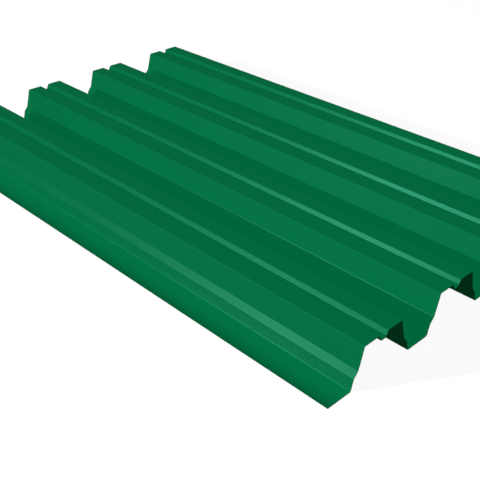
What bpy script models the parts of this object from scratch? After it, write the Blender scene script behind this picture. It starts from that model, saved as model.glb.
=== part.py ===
"""A profiled steel sheet for roofs and decks, cut to length and lying flat with its ridges up.

Metres, +Z up. X runs across the sheet and Y along its ridges. The origin is on the floor,
under the middle of the sheet.

The sheet is one strip of coated steel, rolled cold through its whole length. Its section is
one wave, repeated: a valley, a web that steps inwards on its way up, a ridge with a groove
along its middle, and the same web down again. The sheet starts and ends with a valley, so
that a neighbour's first valley nests in its last one.

Every width and height of the section is taken along the upper face, between the sharp
corners where two flats would meet. The bends round those corners off, and the steel's
thickness lies below the upper face.
"""

from math import atan2, radians, tan

import bmesh
import bpy
from mathutils import Matrix, Vector

# Steel strip
SHEET_THICKNESS = 0.0008

# Inner radius of a bend: easy where the strip bends upwards, and tight where it bends downwards
UPWARD_BEND_RADIUS = 0.003
DOWNWARD_BEND_RADIUS = 0.0008

# Sheet
SHEET_LENGTH = 1.185
WAVE_COUNT = 4
WAVE_PITCH = 0.1875

# Valleys and ridges
PROFILE_HEIGHT = 0.070
VALLEY_WIDTH = 0.050
RIDGE_WIDTH = 0.088

# Step in each web, from the foot of the web
STEP_HEIGHT = 0.020
STEP_INSET = 0.005
STEP_RISE = 0.0105
STEP_RUN = 0.010

# Groove along the middle of each ridge
GROOVE_MOUTH = 0.0214
GROOVE_FLOOR = 0.010
GROOVE_DEPTH = 0.011

# Facets of one bend, and the angle from which an edge stays sharp
BEND_FACETS = 6
SHARP_ANGLE = radians(35)

# Coating
COATING_COLOUR = (0.004, 0.150, 0.056, 1.0)
COATING_ROUGHNESS = 0.35
COATING_METALLIC = 0.0

# Levels and width that follow from the sizes above
SHEET_WIDTH = WAVE_COUNT * WAVE_PITCH + VALLEY_WIDTH
VALLEY_LEVEL = SHEET_THICKNESS
RIDGE_LEVEL = VALLEY_LEVEL + PROFILE_HEIGHT


def rising_corners(foot_x, ridge_middle_x):
    """The sharp corners from a web's foot to the groove in its ridge, left to right."""
    step_x = foot_x + STEP_INSET
    step_z = VALLEY_LEVEL + STEP_HEIGHT
    return [
        Vector((foot_x, VALLEY_LEVEL)),
        Vector((step_x, step_z)),
        Vector((step_x + STEP_RUN, step_z + STEP_RISE)),
        Vector((ridge_middle_x - RIDGE_WIDTH / 2, RIDGE_LEVEL)),
        Vector((ridge_middle_x - GROOVE_MOUTH / 2, RIDGE_LEVEL)),
        Vector((ridge_middle_x - GROOVE_FLOOR / 2, RIDGE_LEVEL - GROOVE_DEPTH)),
    ]


def wave_corners(left_foot_x):
    """The sharp corners of one wave, from the foot of its left web to the foot of its right web."""
    ridge_middle_x = left_foot_x + (WAVE_PITCH - VALLEY_WIDTH) / 2
    rising = rising_corners(left_foot_x, ridge_middle_x)
    falling = [Vector((2 * ridge_middle_x - corner.x, corner.y)) for corner in reversed(rising)]
    return rising + falling


def section_corners():
    """The sharp corners of the whole section, from the sheet's left edge to its right edge."""
    left_edge_x = -SHEET_WIDTH / 2
    first_foot_x = left_edge_x + VALLEY_WIDTH
    corners = [Vector((left_edge_x, VALLEY_LEVEL))]
    for wave in range(WAVE_COUNT):
        corners += wave_corners(first_foot_x + wave * WAVE_PITCH)
    corners.append(Vector((-left_edge_x, VALLEY_LEVEL)))
    return corners


def bend_points(before, corner, after):
    """The arc that rounds off one corner of the upper face, from the flat before to the flat after.

    Where the sheet bends upwards, the upper face is the inner side of the bend. Where it bends
    downwards, the upper face is the outer side, with the steel's thickness on top of the radius.
    """
    incoming = (corner - before).normalized()
    outgoing = (after - corner).normalized()
    turn = atan2(incoming.cross(outgoing), incoming.dot(outgoing))
    bends_upwards = turn > 0
    radius = UPWARD_BEND_RADIUS if bends_upwards else DOWNWARD_BEND_RADIUS + SHEET_THICKNESS
    start = corner - incoming * radius * tan(abs(turn) / 2)
    left_of_incoming = Vector((-incoming.y, incoming.x))
    centre = start + left_of_incoming * (radius if bends_upwards else -radius)
    turns = [Matrix.Rotation(turn * facet / BEND_FACETS, 2) for facet in range(BEND_FACETS + 1)]
    return [centre + rotation @ (start - centre) for rotation in turns]


def upper_face_line():
    """The line of the upper face across the whole section, with its bends."""
    corners = section_corners()
    line = [corners[0]]
    for before, corner, after in zip(corners, corners[1:], corners[2:]):
        line += bend_points(before, corner, after)
    line.append(corners[-1])
    return line


def upper_face_mesh():
    """The upper face: the section's line, drawn out along the length of the sheet."""
    mesh = bpy.data.meshes.new("profiled_sheet")
    form = bmesh.new()
    near_end_y = -SHEET_LENGTH / 2
    points = [form.verts.new((point.x, near_end_y, point.y)) for point in upper_face_line()]
    edges = [form.edges.new(pair) for pair in zip(points, points[1:])]
    drawn = bmesh.ops.extrude_edge_only(form, edges=edges)["geom"]
    far_end = [item for item in drawn if isinstance(item, bmesh.types.BMVert)]
    bmesh.ops.translate(form, verts=far_end, vec=(0, SHEET_LENGTH, 0))
    bmesh.ops.recalc_face_normals(form, faces=form.faces)
    if form.faces[0].normal.z < 0:
        bmesh.ops.reverse_faces(form, faces=form.faces)
    form.to_mesh(mesh)
    form.free()
    return mesh


def coating_material():
    """The green polyester coat that covers both faces of the steel."""
    material = bpy.data.materials.new("green_coated_steel")
    material.use_nodes = True
    surface = material.node_tree.nodes["Principled BSDF"]
    surface.inputs["Base Color"].default_value = COATING_COLOUR
    surface.inputs["Roughness"].default_value = COATING_ROUGHNESS
    surface.inputs["Metallic"].default_value = COATING_METALLIC
    return material


def build_profiled_sheet():
    """The whole sheet: its upper face, thickened downwards by the thickness of the steel."""
    sheet = bpy.data.objects.new("profiled_sheet", upper_face_mesh())
    bpy.context.scene.collection.objects.link(sheet)
    sheet.data.materials.append(coating_material())
    steel = sheet.modifiers.new("Steel thickness", "SOLIDIFY")
    steel.thickness = SHEET_THICKNESS
    steel.offset = -1
    steel.use_even_offset = True
    bpy.context.view_layer.objects.active = sheet
    bpy.ops.object.modifier_apply(modifier=steel.name)
    sheet.data.shade_smooth()
    sheet.data.set_sharp_from_angle(angle=SHARP_ANGLE)


for leftover in list(bpy.data.objects):
    bpy.data.objects.remove(leftover)
build_profiled_sheet()
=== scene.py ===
"""Looks of the profiled steel sheet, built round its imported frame.

Metres, +Z up, in the frame's own axes: X runs across the sheet and Y along its ridges. The
sheet lies on the floor with its ridges up. It is rolled here from one flat strip, bend by
bend, as a roll former does it, and then given its top coat, its back coat and its cut edges.
"""

import logging
import math
from collections.abc import Callable
from dataclasses import dataclass, field
from enum import Enum

import bpy
import numpy as np
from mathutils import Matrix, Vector


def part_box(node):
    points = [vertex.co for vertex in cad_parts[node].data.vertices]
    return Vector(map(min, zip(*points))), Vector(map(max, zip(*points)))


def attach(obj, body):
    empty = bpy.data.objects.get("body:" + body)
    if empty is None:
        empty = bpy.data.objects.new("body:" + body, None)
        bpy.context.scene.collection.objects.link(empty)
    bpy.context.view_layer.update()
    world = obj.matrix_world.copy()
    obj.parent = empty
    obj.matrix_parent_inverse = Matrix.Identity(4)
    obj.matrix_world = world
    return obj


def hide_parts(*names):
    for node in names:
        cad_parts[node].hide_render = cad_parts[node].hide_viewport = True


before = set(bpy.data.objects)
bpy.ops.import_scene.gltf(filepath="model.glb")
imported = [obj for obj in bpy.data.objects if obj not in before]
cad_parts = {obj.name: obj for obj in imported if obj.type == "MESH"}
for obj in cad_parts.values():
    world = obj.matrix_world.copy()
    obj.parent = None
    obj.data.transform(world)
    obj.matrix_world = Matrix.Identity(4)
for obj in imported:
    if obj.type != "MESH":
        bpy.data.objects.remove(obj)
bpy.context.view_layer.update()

LOG = logging.getLogger("profiled_sheet_scene")

Colour = tuple[float, float, float, float]
Place = tuple[float, float, float]

# What feeds a node's input: the output of another node, or a plain value
Source = bpy.types.NodeSocket | Colour | Place | float

WHITE: Colour = (1.0, 1.0, 1.0, 1.0)

# The middle of any value that runs from zero to one
MIDDLE = 0.5


class Face(Enum):
    """The faces of the steel, in the order of the sheet's material slots."""

    TOP_COAT = 0
    BACK_COAT_WITH_PAINTED_SHADE = 1
    CUT_EDGE = 2


@dataclass(frozen=True)
class CoatFinish:
    """A baked paint film on galvanised steel.

    The colour is linear. Lengths are in metres, and the other amounts are shares of one.
    """

    name: str
    colour: Colour
    roughness: float
    specular: float
    specular_tint: Colour = (0.17, 1.0, 0.7, 1.0)
    mottle: float = 0.04
    roll_streaks: float = 0.04
    peel_size: float = 0.0022
    peel_depth: float = 0.000008
    stretch_lightening: float = 0.02
    stretch_dulling: float = 0.6
    # Painted light next to the fold of each edge lip, and painted shade out towards its slit edge
    lip_painted_light: float = 0.13
    lip_painted_shade: float = 0.48


@dataclass(frozen=True)
class CutEdgeFinish:
    """The sheared edge of galvanised steel, with the paint films drawn over both its sides.

    The grain and the tears are given as features to a metre, the grain's depth is in metres,
    and the other amounts are shares of one.
    """

    name: str
    steel_colour: Colour
    fracture_colour: Colour
    film_colour: Colour
    film_share: float = 0.28
    burnished_share: float = 0.38
    burnished_roughness: float = 0.4
    torn_dulling: float = 0.25
    metallic: float = 0.7
    grain_per_metre: float = 2600.0
    grain_detail: float = 4.0
    grain_depth: float = 0.00002
    grain_darkening: float = 0.5
    tears_per_metre: float = 700.0
    tear_detail: float = 3.0
    raggedness: float = 0.3


TOP_COAT = CoatFinish("green_top_coat", (0.0003, 0.150, 0.0515, 1.0), roughness=0.38, specular=0.5)
# The back coat's own green, darkened far below the top coat's as painted shade on the undersides
BACK_COAT_WITH_PAINTED_SHADE = CoatFinish(
    "green_back_coat_with_painted_shade",
    (0.0003, 0.033, 0.0105, 1.0),
    roughness=0.55,
    specular=0.2,
    mottle=0.08,
    peel_depth=0.00002,
)
CUT_EDGE = CutEdgeFinish(
    "sheared_edge",
    steel_colour=(0.10, 0.14, 0.12, 1.0),
    fracture_colour=(0.045, 0.068, 0.058, 1.0),
    film_colour=(0.0006, 0.125, 0.044, 1.0),
)


@dataclass(frozen=True)
class Bend:
    """One bend of the section, in the plane of X and Z.

    The turn is the angle from X towards Z, in radians, so it is positive where the strip
    bends upwards.
    """

    centre: Vector
    radius: float
    turn: float
    start: Vector
    end: Vector


@dataclass
class SheetSection:
    """The section of the sheet, with its sizes along the upper face, between sharp corners.

    The step in the webs runs 1 mm less than in the solid, which suits the highlight along it.
    """

    thickness: float = 0.0008
    upward_bend_radius: float = 0.003
    downward_bend_radius: float = 0.0008
    wave_count: int = 4
    wave_pitch: float = 0.1875
    profile_height: float = 0.070
    valley_width: float = 0.050
    ridge_width: float = 0.088
    step_height: float = 0.020
    step_inset: float = 0.005
    step_rise: float = 0.0105
    step_run: float = 0.009
    groove_mouth: float = 0.0214
    groove_floor: float = 0.010
    groove_depth: float = 0.011

    @property
    def width(self) -> float:
        """The width over both edge valleys."""
        return self.wave_count * self.wave_pitch + self.valley_width

    @property
    def lip(self) -> tuple[float, float]:
        """How far from the middle of the sheet the lip along each edge starts and ends."""
        return self.width / 2 - self.valley_width, self.width / 2

    def wave_corners(self, foot_x: float) -> list[Vector]:
        """The sharp corners of one wave.

        Args:
            foot_x: where the foot of the wave's left web is.

        Returns:
            The corners from left to right, as points in X and Z.
        """
        valley_z = self.thickness
        ridge_z = valley_z + self.profile_height
        step_z = valley_z + self.step_height
        middle_x = foot_x + (self.wave_pitch - self.valley_width) / 2
        rising = [
            Vector((foot_x, valley_z)),
            Vector((foot_x + self.step_inset, step_z)),
            Vector((foot_x + self.step_inset + self.step_run, step_z + self.step_rise)),
            Vector((middle_x - self.ridge_width / 2, ridge_z)),
            Vector((middle_x - self.groove_mouth / 2, ridge_z)),
            Vector((middle_x - self.groove_floor / 2, ridge_z - self.groove_depth)),
        ]
        return rising + [Vector((2 * middle_x - corner.x, corner.y)) for corner in reversed(rising)]

    def corners(self) -> list[Vector]:
        """The sharp corners of the whole section, with both edges of the sheet.

        Returns:
            The corners from left to right, as points in X and Z.
        """
        edge_x = self.width / 2
        found = [Vector((-edge_x, self.thickness))]
        for wave in range(self.wave_count):
            found += self.wave_corners(-edge_x + self.valley_width + wave * self.wave_pitch)
        return found + [Vector((edge_x, self.thickness))]

    def bend_at(self, before: Vector, corner: Vector, after: Vector) -> Bend:
        """The bend that rounds off one corner of the upper face.

        Args:
            before: the corner to its left.
            corner: the corner itself.
            after: the corner to its right.

        Returns:
            The bend, with the inner radius on the side that the strip bends to.
        """
        incoming = (corner - before).normalized()
        outgoing = (after - corner).normalized()
        turn = math.atan2(incoming.cross(outgoing), incoming.dot(outgoing))
        radius = self.upward_bend_radius if turn > 0 else self.downward_bend_radius + self.thickness
        reach = radius * math.tan(abs(turn) / 2)
        start = corner - incoming * reach
        left_of_incoming = Vector((-incoming.y, incoming.x))
        centre = start + left_of_incoming * math.copysign(radius, turn)
        return Bend(centre, radius, turn, start, corner + outgoing * reach)

    def bends(self) -> list[Bend]:
        """Every bend of the section, left to right."""
        corners = self.corners()
        return [self.bend_at(*three) for three in zip(corners, corners[1:], corners[2:])]


@dataclass
class RolledSheet:
    """The sheet itself, rolled from a flat strip, with its coats and its cut edges."""

    section: SheetSection
    length: float
    name: str = "coated_sheet"
    bend_facets: int = 8
    length_parts: int = 32
    widest_facet: float = 0.012
    waviness: float = 0.0004
    wave_size: float = 0.22
    edge_rounding: float = 0.00009
    cut_angle: float = math.radians(60)
    smooth_angle: float = math.radians(40)
    merge_distance: float = 0.00001
    sheet: bpy.types.Object | None = field(default=None, init=False)

    def build(self) -> bpy.types.Object:
        """Rolls the strip, thickens it, rounds its cut edges and smooths its bends.

        Returns:
            The piece, with nothing on it yet.
        """
        self.sheet = self.first_flat()
        self.roll()
        self.face_upwards()
        self.settle_waves()
        self.thicken()
        self.round_cut_edges()
        self.mark_zones()
        self.smooth()
        return self.sheet

    def first_flat(self) -> bpy.types.Object:
        """Lays down the flat of the left edge valley, from the strip's edge to the first bend.

        Returns:
            The flat, in edit mode, with both its sides cut into parts along the sheet.
        """
        corners = self.section.corners()
        first_bend = self.section.bends()[0]
        flat_width = first_bend.start.x - corners[0].x
        middle = (corners[0].x + flat_width / 2, 0, corners[0].y)
        bpy.ops.object.select_all(action="DESELECT")
        bpy.ops.mesh.primitive_plane_add(size=1, location=middle)
        strip = bpy.context.active_object
        strip.name = strip.data.name = self.name
        strip.scale = (flat_width, self.length, 1)
        bpy.ops.object.transform_apply(location=True, rotation=True, scale=True)
        bpy.ops.object.mode_set(mode="EDIT")
        # Both long sides have their middle half-way along the sheet, and both ends don't
        self.select_edges(lambda edge: abs(edge.y) < self.length / 4)
        bpy.ops.mesh.subdivide(number_cuts=self.length_parts - 1)
        return strip

    def select_edges(self, wanted: Callable[[Vector], bool]) -> None:
        """Selects the edges whose middle passes a test, in edit mode.

        Args:
            wanted: a function from an edge's middle to whether it is selected.
        """
        bpy.ops.mesh.select_mode(type="EDGE")
        bpy.ops.mesh.select_all(action="DESELECT")
        bpy.ops.object.mode_set(mode="OBJECT")
        mesh = bpy.context.active_object.data
        for edge in mesh.edges:
            ends = [mesh.vertices[index].co for index in edge.vertices]
            edge.select = wanted((ends[0] + ends[1]) / 2)
        bpy.ops.object.mode_set(mode="EDIT")

    def roll(self) -> None:
        """Bends the strip along its right edge, flat after flat, up to the sheet's right edge."""
        bends = self.section.bends()
        flat_ends = [later.start for later in bends[1:]] + [self.section.corners()[-1]]
        first_x = bends[0].start.x
        self.select_edges(lambda edge: abs(edge.x - first_x) < self.merge_distance)
        for bend, flat_end in zip(bends, flat_ends):
            bpy.ops.mesh.spin(
                steps=self.bend_facets,
                angle=bend.turn,
                center=(bend.centre.x, 0, bend.centre.y),
                axis=(0, 1, 0),
            )
            self.extend_flat(flat_end - bend.end)
        bpy.ops.mesh.select_all(action="SELECT")
        bpy.ops.mesh.remove_doubles(threshold=self.merge_distance)

    def extend_flat(self, run: Vector) -> None:
        """Draws the selected edge out along one flat, in facets of about equal width.

        Args:
            run: the flat's run, in X and Z.
        """
        facets = max(1, math.ceil(run.length / self.widest_facet))
        for _ in range(facets):
            bpy.ops.mesh.extrude_region_move(
                TRANSFORM_OT_translate={"value": (run.x / facets, 0, run.y / facets)}
            )

    def face_upwards(self) -> None:
        """Turns every face of the open strip to its upper side."""
        bpy.ops.mesh.select_all(action="SELECT")
        bpy.ops.mesh.normals_make_consistent(inside=False)
        bpy.ops.object.mode_set(mode="OBJECT")
        if self.sheet.data.polygons[0].normal.z < 0:
            bpy.ops.object.mode_set(mode="EDIT")
            bpy.ops.mesh.flip_normals()
            bpy.ops.object.mode_set(mode="OBJECT")

    def settle_waves(self) -> None:
        """Gives the flats the slight, long waves that rolling leaves in thin steel."""
        texture = bpy.data.textures.new("rolling_waves", "CLOUDS")
        texture.noise_scale = self.wave_size
        texture.noise_depth = 1
        waves = self.sheet.modifiers.new("Rolling waves", "DISPLACE")
        waves.texture = texture
        waves.texture_coords = "LOCAL"
        waves.strength = self.waviness
        self.apply(waves)

    def thicken(self) -> None:
        """Gives the strip its thickness below the upper face."""
        for face in Face:
            self.sheet.data.materials.append(bpy.data.materials.new(face.name.lower()))
        self.sheet.vertex_groups.new(name="underside")
        steel = self.sheet.modifiers.new("Steel", "SOLIDIFY")
        steel.thickness = self.section.thickness
        steel.offset = -1
        steel.use_even_offset = True
        steel.material_offset = Face.BACK_COAT_WITH_PAINTED_SHADE.value
        steel.material_offset_rim = Face.CUT_EDGE.value
        steel.shell_vertex_group = "underside"
        self.apply(steel)

    def round_cut_edges(self) -> None:
        """Takes the sharpness off the sheared edges, all round the sheet."""
        rounding = self.sheet.modifiers.new("Cut edges", "BEVEL")
        rounding.limit_method = "ANGLE"
        rounding.angle_limit = self.cut_angle
        rounding.width = self.edge_rounding
        rounding.segments = 1
        self.apply(rounding)

    def apply(self, modifier: bpy.types.Modifier) -> None:
        """Applies one modifier of the sheet."""
        bpy.context.view_layer.objects.active = self.sheet
        bpy.ops.object.modifier_apply(modifier=modifier.name)

    def mark_zones(self) -> None:
        """Stores how far each point is through the steel, and which faces a bend has stretched."""
        underside = self.sheet.vertex_groups["underside"].index
        through = [
            any(group.group == underside for group in point.groups)
            for point in self.sheet.data.vertices
        ]
        self.store("through_steel", "POINT", np.array(through))
        self.store("stretched", "FACE", self.stretched_faces())

    def stretched_faces(self) -> np.ndarray:
        """Finds the faces on the outer side of the downward bends.

        Returns:
            Whether each face of the sheet is one of them.
        """
        places = np.array([face.center for face in self.sheet.data.polygons])[:, [0, 2]]
        stretched = np.zeros(len(places), dtype=bool)
        for bend in self.section.bends():
            if bend.turn < 0:
                from_arc = np.linalg.norm(places - np.array(bend.centre), axis=1) - bend.radius
                stretched |= np.abs(from_arc) < self.section.thickness / 2
        return stretched

    def store(self, label: str, domain: str, values: np.ndarray) -> None:
        """Stores one value for each point or face, for the finishes to read.

        Args:
            label: the name that the finishes read it by.
            domain: Blender's word for what has a value each, a point or a face.
            values: the values, in the mesh's own order.
        """
        zone = self.sheet.data.attributes.new(label, "FLOAT", domain)
        zone.data.foreach_set("value", values.astype(np.float32))

    def smooth(self) -> None:
        """Shades the bends round and keeps the cut edges sharp."""
        bpy.ops.object.select_all(action="DESELECT")
        self.sheet.select_set(True)
        bpy.context.view_layer.objects.active = self.sheet
        bpy.ops.object.shade_smooth_by_angle(angle=self.smooth_angle)
        normals = self.sheet.modifiers.new("Flat normals", "WEIGHTED_NORMAL")
        normals.keep_sharp = True
        self.apply(normals)

    def dress(self, materials: dict[Face, bpy.types.Material]) -> None:
        """Puts the finishes on, hides the solid that the piece stands in for, and hangs the piece on
        the root body.

        Args:
            materials: the finish of each face of the steel.
        """
        for face, material in materials.items():
            self.sheet.data.materials[face.value] = material
        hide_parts("profiled_sheet")
        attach(self.sheet, "root")


class MaterialNodes:
    """A material or a node group in the making, with short calls to add and join nodes."""

    # The sockets of a Mix node that take and give colours
    MIX_FIRST = 6
    MIX_SECOND = 7
    MIX_RESULT = 2

    def __init__(self, tree: bpy.types.NodeTree) -> None:
        """Starts on a node tree.

        Args:
            tree: the tree that the nodes go into.
        """
        self.tree = tree

    def add(self, kind: str, **settings: object) -> bpy.types.Node:
        """Adds a node.

        Args:
            kind: Blender's name of the node's type.
            **settings: properties of the node.

        Returns:
            The new node.
        """
        node = self.tree.nodes.new(kind)
        for key, value in settings.items():
            setattr(node, key, value)
        return node

    def feed(self, socket: bpy.types.NodeSocket, source: Source) -> None:
        """Joins a socket to an output, or sets its value.

        Args:
            socket: the input to feed.
            source: an output socket, or a plain value.
        """
        if isinstance(source, bpy.types.NodeSocket):
            self.tree.links.new(source, socket)
        else:
            socket.default_value = source

    def maths(
        self, operation: str, first: Source, second: Source = 0.0, third: Source = 0.0
    ) -> bpy.types.NodeSocket:
        """One sum of numbers.

        Args:
            operation: the Math node's operation.
            first: the first input.
            second: the second input, where the operation has one.
            third: the third input, where the operation has one.

        Returns:
            The result.
        """
        node = self.add("ShaderNodeMath", operation=operation)
        for socket, source in zip(node.inputs, (first, second, third)):
            self.feed(socket, source)
        return node.outputs[0]

    def mix(self, share: Source, first: Source, second: Source) -> bpy.types.NodeSocket:
        """A mix of two colours.

        Args:
            share: the share of the second one.
            first: the first colour.
            second: the second colour.

        Returns:
            The mixed colour.
        """
        node = self.add("ShaderNodeMix", data_type="RGBA")
        self.feed(node.inputs["Factor"], share)
        self.feed(node.inputs[self.MIX_FIRST], first)
        self.feed(node.inputs[self.MIX_SECOND], second)
        return node.outputs[self.MIX_RESULT]

    def noise(self, place: Source, scale: Source, detail: float) -> bpy.types.NodeSocket:
        """Soft noise from zero to one.

        Args:
            place: the coordinates.
            scale: how many features there are to a metre.
            detail: how many finer layers it has.

        Returns:
            The noise's value.
        """
        node = self.add("ShaderNodeTexNoise")
        self.feed(node.inputs["Vector"], place)
        self.feed(node.inputs["Scale"], scale)
        self.feed(node.inputs["Detail"], detail)
        return node.outputs["Fac"]

    def scaled(self, place: Source, scale: Place) -> bpy.types.NodeSocket:
        """Coordinates scaled along each axis.

        Args:
            place: the coordinates.
            scale: the scale along X, Y and Z.

        Returns:
            The scaled coordinates.
        """
        node = self.add("ShaderNodeMapping")
        self.feed(node.inputs["Vector"], place)
        self.feed(node.inputs["Scale"], scale)
        return node.outputs["Vector"]

    def relief(
        self, surface: bpy.types.Node, depth: float, height: bpy.types.NodeSocket
    ) -> None:
        """Gives a surface fine relief.

        Args:
            surface: the surface shader.
            depth: how deep the relief is, in metres.
            height: the height of the relief, from zero to one.
        """
        bump = self.add("ShaderNodeBump")
        self.feed(bump.inputs["Distance"], depth)
        self.feed(bump.inputs["Height"], height)
        self.feed(surface.inputs["Normal"], bump.outputs["Normal"])


class CoatGroup:
    """The node group of a coil coating: its colour, its gloss and its skin.

    Both coats of the sheet use it, each with its own values. The wear on the bends follows
    the streaks, with the given number of its features to each streak.
    """

    MOTTLES_PER_METRE = 9.0
    MOTTLE_DETAIL = 4.0
    STREAKS_PER_METRE = (190.0, 1.1, 190.0)
    STREAK_DETAIL = 2.0
    WEAR_PER_STREAK = 0.7
    WEAR_DETAIL = 3.0
    LIP_PAINTED_SHADE_POWER = 3.0
    PEEL_DETAIL = 2.0
    INPUTS = (
        ("Colour", "NodeSocketColor"),
        ("Roughness", "NodeSocketFloat"),
        ("Mottle", "NodeSocketFloat"),
        ("Streaks", "NodeSocketFloat"),
        ("Peel size", "NodeSocketFloat"),
        ("Stretched", "NodeSocketFloat"),
        ("Stretch lightening", "NodeSocketFloat"),
        ("Stretch dulling", "NodeSocketFloat"),
        ("Lip inner", "NodeSocketFloat"),
        ("Lip outer", "NodeSocketFloat"),
        ("Lip painted light", "NodeSocketFloat"),
        ("Lip painted shade", "NodeSocketFloat"),
    )
    OUTPUTS = (
        ("Colour", "NodeSocketColor"),
        ("Roughness", "NodeSocketFloat"),
        ("Skin", "NodeSocketFloat"),
    )

    def __init__(self) -> None:
        """Builds the group once."""
        self.tree = bpy.data.node_groups.new("coil_coating", "ShaderNodeTree")
        for name, kind in self.INPUTS:
            self.tree.interface.new_socket(name=name, in_out="INPUT", socket_type=kind)
        for name, kind in self.OUTPUTS:
            self.tree.interface.new_socket(name=name, in_out="OUTPUT", socket_type=kind)
        self.nodes = MaterialNodes(self.tree)
        self.given = self.nodes.add("NodeGroupInput").outputs
        self.result = self.nodes.add("NodeGroupOutput").inputs
        self.place = self.nodes.add("ShaderNodeTexCoord").outputs["Object"]
        self.colour_and_gloss()
        self.skin()

    def colour_and_gloss(self) -> None:
        """Faint mottling, streaks along the rolling direction, and lighter, duller film on bends."""
        nodes, given = self.nodes, self.given
        mottles = nodes.noise(self.place, self.MOTTLES_PER_METRE, self.MOTTLE_DETAIL)
        mottling = nodes.maths("SUBTRACT", mottles, MIDDLE)
        along_roll = nodes.scaled(self.place, self.STREAKS_PER_METRE)
        streaks = nodes.noise(along_roll, 1.0, self.STREAK_DETAIL)
        streaks = nodes.maths("SUBTRACT", streaks, MIDDLE)
        wear = nodes.noise(along_roll, self.WEAR_PER_STREAK, self.WEAR_DETAIL)
        worn = nodes.maths("MULTIPLY", given["Stretched"], wear)
        shade = nodes.maths("MULTIPLY_ADD", mottling, given["Mottle"], 1.0)
        shade = nodes.maths("MULTIPLY_ADD", streaks, given["Streaks"], shade)
        shade = nodes.maths("MULTIPLY_ADD", worn, given["Stretch lightening"], shade)
        # Painted light and shade across the edge lips, over the coat's own mottling and streaks
        shade = nodes.maths("MULTIPLY", shade, self.painted_lip_shading())
        shaded = nodes.add("ShaderNodeVectorMath", operation="SCALE")
        nodes.feed(shaded.inputs[0], given["Colour"])
        nodes.feed(shaded.inputs["Scale"], shade)
        nodes.feed(self.result["Colour"], shaded.outputs[0])
        gloss = nodes.maths("MULTIPLY_ADD", streaks, given["Streaks"], given["Roughness"])
        gloss = nodes.maths("MULTIPLY_ADD", worn, given["Stretch dulling"], gloss)
        nodes.feed(self.result["Roughness"], gloss)

    def painted_lip_shading(self) -> bpy.types.NodeSocket:
        """Painted light and shade on both edge lips: lighter next to the fold, and darker out to the
        slit edge.

        Returns:
            The shade's factor, which is one everywhere else.
        """
        nodes, given = self.nodes, self.given
        axes = nodes.add("ShaderNodeSeparateXYZ")
        nodes.feed(axes.inputs[0], self.place)
        across = nodes.maths("ABSOLUTE", axes.outputs["X"])
        along_lip = nodes.add("ShaderNodeMapRange")
        nodes.feed(along_lip.inputs["Value"], across)
        nodes.feed(along_lip.inputs["From Min"], given["Lip inner"])
        nodes.feed(along_lip.inputs["From Max"], given["Lip outer"])
        on_lip = nodes.maths("GREATER_THAN", across, given["Lip inner"])
        painted_shade_ramp = nodes.maths("POWER", along_lip.outputs["Result"], self.LIP_PAINTED_SHADE_POWER)
        fall = nodes.maths("MULTIPLY", painted_shade_ramp, given["Lip painted shade"])
        change = nodes.maths("SUBTRACT", given["Lip painted light"], fall)
        return nodes.maths("MULTIPLY_ADD", on_lip, change, 1.0)

    def skin(self) -> None:
        """The orange peel of the baked film, as a height from zero to one."""
        peels_per_metre = self.nodes.maths("DIVIDE", 1.0, self.given["Peel size"])
        peel = self.nodes.noise(self.place, peels_per_metre, self.PEEL_DETAIL)
        self.nodes.feed(self.result["Skin"], peel)


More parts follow.
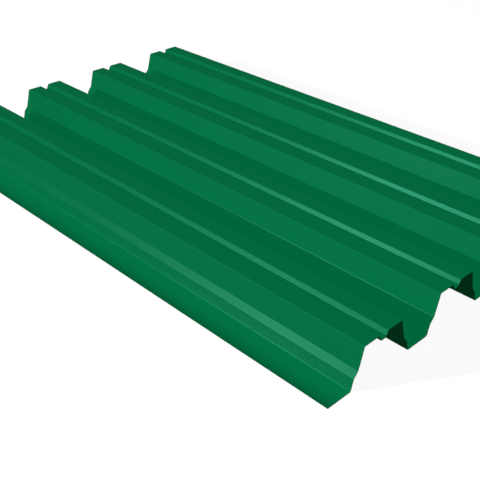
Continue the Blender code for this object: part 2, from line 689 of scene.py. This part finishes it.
@dataclass
class SheetFinishes:
    """The materials of the three kinds of face.

    The lip is where the painted light and shade on both edge lips start and end, from the sheet's
    middle.
    """

    lip: tuple[float, float]
    coat_group: CoatGroup = field(default_factory=CoatGroup)

    def material(self, name: str) -> tuple[bpy.types.Material, MaterialNodes, bpy.types.Node]:
        """A new material.

        Args:
            name: its name.

        Returns:
            The material, its nodes and its surface shader.
        """
        made = bpy.data.materials.new(name)
        made.use_nodes = True
        return made, MaterialNodes(made.node_tree), made.node_tree.nodes["Principled BSDF"]

    def coat(self, finish: CoatFinish) -> bpy.types.Material:
        """The material of one painted face.

        Args:
            finish: the paint film.

        Returns:
            The material.
        """
        made, nodes, surface = self.material(finish.name)
        film = nodes.add("ShaderNodeGroup", node_tree=self.coat_group.tree)
        stretched = nodes.add("ShaderNodeAttribute", attribute_name="stretched")
        values = {
            "Colour": finish.colour,
            "Roughness": finish.roughness,
            "Mottle": finish.mottle,
            "Streaks": finish.roll_streaks,
            "Peel size": finish.peel_size,
            "Stretched": stretched.outputs["Fac"],
            "Stretch lightening": finish.stretch_lightening,
            "Stretch dulling": finish.stretch_dulling,
            "Lip inner": self.lip[0],
            "Lip outer": self.lip[1],
            "Lip painted light": finish.lip_painted_light,
            "Lip painted shade": finish.lip_painted_shade,
        }
        for name, value in values.items():
            nodes.feed(film.inputs[name], value)
        nodes.relief(surface, finish.peel_depth, film.outputs["Skin"])
        nodes.feed(surface.inputs["Base Color"], film.outputs["Colour"])
        nodes.feed(surface.inputs["Roughness"], film.outputs["Roughness"])
        nodes.feed(surface.inputs["Specular IOR Level"], finish.specular)
        nodes.feed(surface.inputs["Specular Tint"], finish.specular_tint)
        return made

    def cut_edge(self, finish: CutEdgeFinish) -> bpy.types.Material:
        """The material of the sheared edges.

        A shear leaves a burnished band at the top of the cut and a torn one below it, and it
        draws the paint over the cut from both sides.

        Args:
            finish: the cut edge.

        Returns:
            The material.
        """
        made, nodes, surface = self.material(finish.name)
        depth = nodes.add("ShaderNodeAttribute", attribute_name="through_steel").outputs["Fac"]
        place = nodes.add("ShaderNodeTexCoord").outputs["Object"]
        grain = nodes.noise(place, finish.grain_per_metre, finish.grain_detail)
        tears = nodes.noise(place, finish.tears_per_metre, finish.tear_detail)
        ragged = nodes.maths("MULTIPLY_ADD", tears, finish.raggedness, depth)
        torn_from = finish.burnished_share + finish.raggedness * MIDDLE
        torn = nodes.maths("GREATER_THAN", ragged, torn_from)
        steel = nodes.mix(torn, finish.steel_colour, finish.fracture_colour)
        darkening = nodes.maths("MULTIPLY", grain, finish.grain_darkening)
        steel = nodes.mix(darkening, steel, finish.fracture_colour)
        from_middle = nodes.maths("ABSOLUTE", nodes.maths("SUBTRACT", depth, MIDDLE))
        film = nodes.maths("GREATER_THAN", from_middle, MIDDLE - finish.film_share)
        nodes.feed(surface.inputs["Base Color"], nodes.mix(film, steel, finish.film_colour))
        metal = nodes.maths("SUBTRACT", 1.0, film)
        nodes.feed(surface.inputs["Metallic"], nodes.maths("MULTIPLY", metal, finish.metallic))
        rough = nodes.maths("MULTIPLY_ADD", torn, finish.torn_dulling, finish.burnished_roughness)
        nodes.feed(surface.inputs["Roughness"], rough)
        nodes.relief(surface, finish.grain_depth, grain)
        return made

    def by_face(self) -> dict[Face, bpy.types.Material]:
        """Makes all the finishes of the sheet.

        Returns:
            The finish of each kind of face.
        """
        return {
            Face.TOP_COAT: self.coat(TOP_COAT),
            Face.BACK_COAT_WITH_PAINTED_SHADE: self.coat(BACK_COAT_WITH_PAINTED_SHADE),
            Face.CUT_EDGE: self.cut_edge(CUT_EDGE),
        }


class LampKind(Enum):
    """The kinds of studio lamp, by Blender's name for them."""

    KEY_DISK = "AREA"
    PARALLEL_FILL = "SUN"


@dataclass
class StudioLamp:
    """A lamp that faces the middle of the sheet, with the same strength at any distance.

    The size is the disk's diameter in metres, or the parallel light's spread in radians.
    A fill only lifts the shade: it casts no shadow and makes no highlight.
    """

    name: str
    kind: LampKind
    location: Place
    size: float
    strength: float

    def place(self) -> None:
        """Puts the lamp up, turned towards the middle of the sheet."""
        light = bpy.data.lights.new(self.name, self.kind.value)
        light.energy = self.strength
        lamp = bpy.data.objects.new(self.name, light)
        if self.kind is LampKind.KEY_DISK:
            light.shape = "DISK"
            light.size = self.size
            self.reach_evenly(light)
        else:
            light.angle = self.size
            light.use_shadow = False
            lamp.visible_glossy = False
        lamp.location = self.location
        lamp.rotation_euler = Vector(self.location).to_track_quat("Z", "Y").to_euler()
        bpy.context.scene.collection.objects.link(lamp)

    def reach_evenly(self, light: bpy.types.Light) -> None:
        """Takes the falloff out of a near lamp, so that both ends of the sheet are lit alike.

        Args:
            light: the lamp's light.
        """
        light.use_nodes = True
        nodes = MaterialNodes(light.node_tree)
        falloff = nodes.add("ShaderNodeLightFalloff")
        nodes.feed(falloff.inputs["Strength"], 1.0)
        nodes.feed(light.node_tree.nodes["Emission"].inputs["Strength"], falloff.outputs["Constant"])


# How far the light of a parallel lamp spreads
FILL_SPREAD = math.radians(2)


@dataclass
class Studio:
    """The floor, the backdrop, the lamps and the camera.

    The floor that the camera sees is half pale paint and half its own glow, so it is white
    and still keeps the sheet's shadow, faintly. The bounce is what the floor throws back on
    the sheet, and the sky light is what the backdrop sheds on it. The mirrored share is how
    much of the white surroundings the paint mirrors.
    """

    floor_size: float = 14.0
    floor_gap: float = 0.0004
    floor_roughness: float = 0.9
    floor_paleness: float = 0.5
    floor_bounce: float = 0.2
    floor_glow: float = 0.52
    mirrored_share: float = 0.01
    sky_light: float = 0.02
    camera_place: Place = (-1.0961, -1.1357, 0.8177)
    camera_turn: float = math.radians(44.0)
    camera_drop: float = math.radians(31.602)
    lens: float = 62.4675
    lamps: tuple[StudioLamp, ...] = (
        StudioLamp("key_lamp", LampKind.KEY_DISK, (-3.2, 1.48, 1.42), size=0.08, strength=2.95),
        StudioLamp("left_fill", LampKind.PARALLEL_FILL, (-5.0, 0.0, 0.44), FILL_SPREAD, strength=2.34),
        StudioLamp("back_fill", LampKind.PARALLEL_FILL, (2.0, 3.46, 3.12), FILL_SPREAD, strength=2.7),
        StudioLamp("top_fill", LampKind.PARALLEL_FILL, (0.0, 0.0, 5.0), FILL_SPREAD, strength=0.79),
    )

    def build(self) -> None:
        """Sets up everything around the sheet."""
        self.floor()
        self.world()
        for lamp in self.lamps:
            lamp.place()
        self.camera()
        bpy.context.scene.view_settings.view_transform = "Standard"

    def background_share(self, nodes: MaterialNodes) -> bpy.types.NodeSocket:
        """How much of the white background a ray sees: all of it, or the share that the paint mirrors.

        Args:
            nodes: the nodes of the floor or of the world.

        Returns:
            The share, which is zero for the rays that light the sheet.
        """
        rays = nodes.add("ShaderNodeLightPath").outputs
        seen = nodes.maths("MAXIMUM", rays["Is Camera Ray"], rays["Is Transmission Ray"])
        mirrored = nodes.maths("MULTIPLY", rays["Is Glossy Ray"], self.mirrored_share)
        return nodes.maths("MAXIMUM", seen, mirrored)

    def floor(self) -> None:
        """A plain white floor that keeps the sheet's shadow and throws little light back on it."""
        bpy.ops.object.select_all(action="DESELECT")
        bpy.ops.mesh.primitive_plane_add(size=self.floor_size, location=(0, 0, -self.floor_gap))
        floor = bpy.context.active_object
        floor.name = "floor"
        material = bpy.data.materials.new("white_floor")
        material.use_nodes = True
        nodes = MaterialNodes(material.node_tree)
        surface = material.node_tree.nodes["Principled BSDF"]
        share = self.background_share(nodes)
        rays = nodes.add("ShaderNodeLightPath").outputs
        seen = nodes.maths("MULTIPLY", share, self.floor_paleness)
        bounce = nodes.maths("MULTIPLY", rays["Is Diffuse Ray"], self.floor_bounce)
        nodes.feed(surface.inputs["Base Color"], nodes.maths("MAXIMUM", seen, bounce))
        nodes.feed(surface.inputs["Roughness"], self.floor_roughness)
        nodes.feed(surface.inputs["Specular IOR Level"], 0.0)
        nodes.feed(surface.inputs["Emission Color"], WHITE)
        nodes.feed(surface.inputs["Emission Strength"], nodes.maths("MULTIPLY", share, self.floor_glow))
        floor.data.materials.append(material)

    def world(self) -> None:
        """A white backdrop to the camera, and an even, weak light on the sheet."""
        world = bpy.data.worlds.new("studio")
        world.use_nodes = True
        nodes = MaterialNodes(world.node_tree)
        background = world.node_tree.nodes["Background"]
        strength = nodes.maths("MAXIMUM", self.background_share(nodes), self.sky_light)
        nodes.feed(background.inputs["Color"], WHITE)
        nodes.feed(background.inputs["Strength"], strength)
        bpy.context.scene.world = world

    def camera(self) -> None:
        """The camera, at the photograph's place and angle."""
        view = bpy.data.cameras.new("camera")
        view.lens = self.lens
        camera = bpy.data.objects.new("camera", view)
        camera.location = self.camera_place
        camera.rotation_euler = (math.pi / 2 - self.camera_drop, 0, -self.camera_turn)
        bpy.context.scene.collection.objects.link(camera)
        bpy.context.scene.camera = camera


def main() -> None:
    """Builds the sheet and its studio, and reports each piece."""
    logging.basicConfig(level=logging.INFO, format="%(name)s: %(message)s")
    lowest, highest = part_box("profiled_sheet")
    section = SheetSection()
    sheet = RolledSheet(section, length=highest.y - lowest.y)
    piece = sheet.build()
    sheet.dress(SheetFinishes(section.lip).by_face())
    LOG.info("%s: %d faces", piece.name, len(piece.data.polygons))
    Studio().build()


if __name__ == "__main__":
    main()
